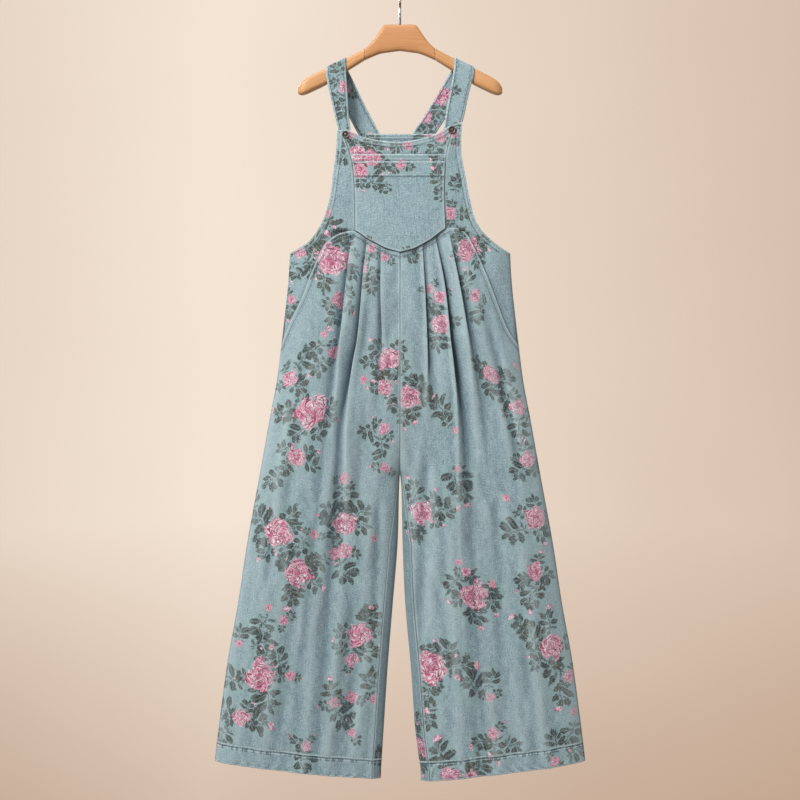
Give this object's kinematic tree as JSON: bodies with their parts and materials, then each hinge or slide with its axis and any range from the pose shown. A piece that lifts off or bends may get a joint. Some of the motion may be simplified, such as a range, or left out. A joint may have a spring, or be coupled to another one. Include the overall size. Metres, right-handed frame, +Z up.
{
  "type": "dungaree jumpsuit on a hanger",
  "caption": "Wide-leg floral denim dungaree jumpsuit with a bib, pocket and pleated front, hung flat by its straps from a wooden hanger with a steel hook.",
  "frame": {"origin": "the hang point: the top of the inside of the hanger hook", "axes": "+Z up; +X to the right as seen from the front; the front of the garment faces -Y; the middle plane of the flat-hung garment is Y = 0"},
  "size_m": [0.722, 0.0643, 1.5303],
  "materials": {
    "denim": "washed floral denim",
    "wood": "satin lacquer",
    "hook": "polished",
    "button": "dark antique"
  },
  "bodies": {
    "root": {"hanger_hook": "hook", "hanger_centre": "wood", "bib_centre": "denim", "bib_pocket_inner": "denim", "bib_pocket_outer": "denim", "back_bodice": "denim", "hanger_arm_left": "wood", "strap_left": "denim", "side_front_left": "denim", "leg_front_left": "denim", "leg_back_left": "denim", "button_left": "button", "hanger_arm_right": "wood", "strap_right": "denim", "side_front_right": "denim", "leg_front_right": "denim", "leg_back_right": "denim", "button_right": "button"}
  },
  "joints": []
}
